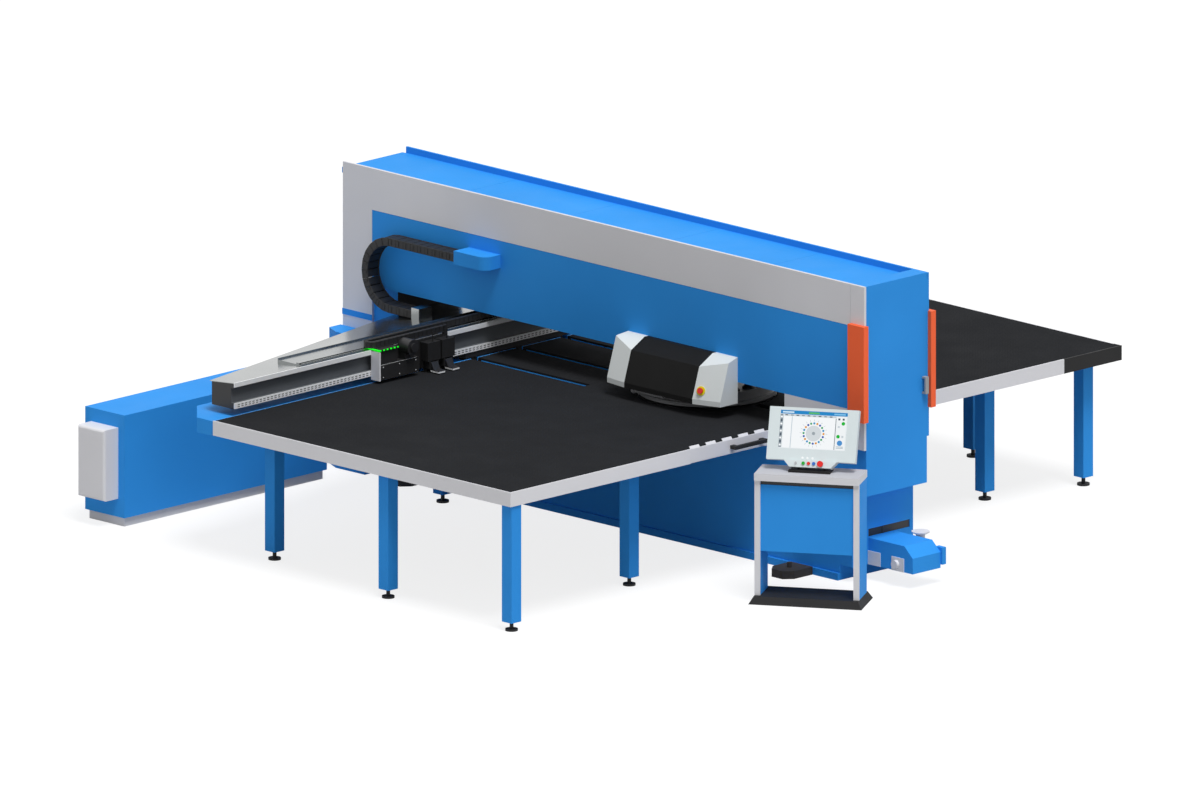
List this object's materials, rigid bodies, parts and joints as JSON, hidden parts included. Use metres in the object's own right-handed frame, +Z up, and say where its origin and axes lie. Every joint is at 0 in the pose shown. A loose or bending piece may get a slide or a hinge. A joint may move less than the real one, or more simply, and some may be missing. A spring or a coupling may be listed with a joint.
{
  "type": "cnc turret punch press",
  "caption": "CNC turret punch press: O-frame bridge over a brush table, beam with clamp carriage, round tool turret under a hood, electrical cabinet, tilting operator console and slug conveyor.",
  "frame": {"origin": "on the floor, under the middle of the bridge's length and depth", "axes": "+X along the bridge to the operator's right, +Y away from the operator, +Z up"},
  "size_m": [5.3668, 5.66, 2.023],
  "materials": {
    "blue_paint": "satin powder coat, bright blue",
    "grey_paint": "satin powder coat, light grey",
    "orange_paint": "satin powder coat, orange",
    "black_paint": "fine textured black powder coat",
    "dark_steel": "blackened tool steel",
    "bright_steel": "ground bearing steel",
    "cover_sheet": "glossy rolled aluminium sheet",
    "brush_deck": "dense black brush table top",
    "chain_plastic": "black moulded chain links",
    "black_plastic": "black moulded plastic",
    "panel_plastic": "light grey moulded housing",
    "screen_glass": "lit display behind glass",
    "green_light": "lit green diffuser",
    "red_plastic": "red gloss cap",
    "green_plastic": "green gloss cap",
    "blue_plastic": "blue gloss cap"
  },
  "bodies": {
    "machine": {"bridge_chain_top": "chain_plastic", "bridge_frame": "blue_paint", "brush_decks": "brush_deck", "cabinet_body": "blue_paint", "cabinet_trim": "grey_paint", "chain_bracket": "blue_paint", "console_base": "black_paint", "console_body": "blue_paint", "console_top": "grey_paint", "conveyor_fittings": "grey_paint", "end_covers": "blue_paint", "fascia_panel": "blue_paint", "fascia_surround": "grey_paint", "floor_pads": "dark_steel", "grab_handles": "black_plastic", "guide_rails": "bright_steel", "inner_drives": "dark_steel", "levelling_feet": "black_plastic", "light_guards": "orange_paint", "rear_panel": "blue_paint", "side_beams": "blue_paint", "slug_conveyor": "blue_paint", "table_edge": "grey_paint", "table_frame": "blue_paint", "table_legs": "blue_paint", "top_covers": "blue_paint", "turret_hood": "black_paint", "turret_hood_ends": "grey_paint", "turret_mounts": "dark_steel"},
    "beam": {"clamp_beam": "black_paint", "beam_rails": "bright_steel", "beam_cover": "cover_sheet", "beam_structure": "black_paint", "bridge_chain_low": "chain_plastic", "beam_chain_low": "chain_plastic"},
    "bridge_chain_loop": {"bridge_chain_bend": "chain_plastic"},
    "carriage": {"carriage_body": "black_paint", "carriage_end_plate": "grey_paint", "carriage_lamp": "green_light", "carriage_drive": "black_paint", "clamp_bodies": "black_paint", "beam_chain_top": "chain_plastic"},
    "beam_chain_loop": {"beam_chain_bend": "chain_plastic"},
    "jaw_1": {"clamp_jaw_1": "bright_steel"},
    "jaw_2": {"clamp_jaw_2": "bright_steel"},
    "upper_turret": {"upper_turret": "dark_steel", "punch_tools": "dark_steel"},
    "lower_turret": {"lower_turret": "dark_steel"},
    "ram": {"punch_ram": "bright_steel"},
    "flap": {"drop_flap": "grey_paint", "flap_handle": "black_plastic"},
    "hood_stop": {"hood_stop_button": "red_plastic"},
    "monitor": {"monitor_bezel": "panel_plastic", "monitor_screen": "screen_glass", "button_box": "black_plastic"},
    "green_button": {"green_button": "green_plastic"},
    "red_button": {"red_button": "red_plastic"},
    "blue_button": {"blue_button": "blue_plastic"},
    "key": {"key_switch": "bright_steel"},
    "panel_stop": {"panel_stop_button": "red_plastic"}
  },
  "joints": [
    {"name": "beam_travel", "type": "slide", "parent": "machine", "child": "beam", "axis": [1, 0, 0], "range_m": [0, 1.05], "deforming": ["bridge_chain_top", "bridge_chain_low"]},
    {"name": "bridge_chain_roll", "type": "slide", "parent": "machine", "child": "bridge_chain_loop", "axis": [1, 0, 0], "range_m": [0, 0.525]},
    {"name": "carriage_travel", "type": "slide", "parent": "beam", "child": "carriage", "axis": [0, 1, 0], "range_m": [-0.84, 3.16], "deforming": ["beam_chain_low", "beam_chain_top"]},
    {"name": "beam_chain_roll", "type": "slide", "parent": "beam", "child": "beam_chain_loop", "axis": [0, 1, 0], "range_m": [-0.42, 1.58]},
    {"name": "jaw_1_hinge", "type": "hinge", "parent": "carriage", "child": "jaw_1", "pos_m": [-1.0097, -0.873, 1.01], "axis": [0, -1, 0], "range_deg": [0, 12]},
    {"name": "jaw_2_hinge", "type": "hinge", "parent": "carriage", "child": "jaw_2", "pos_m": [-1.0097, -0.741, 1.01], "axis": [0, -1, 0], "range_deg": [0, 12]},
    {"name": "upper_turret_index", "type": "hinge", "parent": "machine", "child": "upper_turret", "pos_m": [0.662, 0, 1], "axis": [0, 0, 1], "continuous": true},
    {"name": "lower_turret_index", "type": "hinge", "parent": "machine", "child": "lower_turret", "pos_m": [0.662, 0, 0.9], "axis": [0, 0, 1], "continuous": true},
    {"name": "ram_stroke", "type": "slide", "parent": "machine", "child": "ram", "axis": [0, 0, -1], "range_m": [0, 0.025]},
    {"name": "flap_drop", "type": "hinge", "parent": "machine", "child": "flap", "pos_m": [1.667, -0.819, 0.858], "axis": [0, 1, 0], "range_deg": [0, 90]},
    {"name": "hood_stop_press", "type": "slide", "parent": "machine", "child": "hood_stop", "axis": [-0.2919, 0.9129, -0.2853], "range_m": [0, 0.005], "stiffness_N_per_m": 1500, "springref_m": -0.002},
    {"name": "monitor_tilt", "type": "hinge", "parent": "machine", "child": "monitor", "pos_m": [2.41219, -0.77565, 0.904], "axis": [0.8425, 0.5388, 0], "range_deg": [-10, 8]},
    {"name": "key_turn", "type": "hinge", "parent": "monitor", "child": "key", "pos_m": [2.36911, -0.88646, 0.93328], "axis": [-0.5009, 0.7833, -0.3681], "range_deg": [0, 60]},
    {"name": "green_press", "type": "slide", "parent": "monitor", "child": "green_button", "axis": [-0.5009, 0.7833, -0.3681], "range_m": [0, 0.004], "stiffness_N_per_m": 600, "springref_m": -0.002},
    {"name": "red_press", "type": "slide", "parent": "monitor", "child": "red_button", "axis": [-0.5009, 0.7833, -0.3681], "range_m": [0, 0.004], "stiffness_N_per_m": 600, "springref_m": -0.002},
    {"name": "blue_press", "type": "slide", "parent": "monitor", "child": "blue_button", "axis": [-0.5009, 0.7833, -0.3681], "range_m": [0, 0.004], "stiffness_N_per_m": 600, "springref_m": -0.002},
    {"name": "panel_stop_press", "type": "slide", "parent": "monitor", "child": "panel_stop", "axis": [-0.5009, 0.7833, -0.3681], "range_m": [0, 0.005], "stiffness_N_per_m": 1500, "springref_m": -0.002}
  ],
  "couplings": [
    {"joint": "bridge_chain_roll", "follows": "beam_travel", "ratio": 0.5},
    {"joint": "beam_chain_roll", "follows": "carriage_travel", "ratio": 0.5},
    {"joint": "jaw_2_hinge", "follows": "jaw_1_hinge", "ratio": 1},
    {"joint": "upper_turret_index", "follows": "lower_turret_index", "ratio": 1}
  ]
}
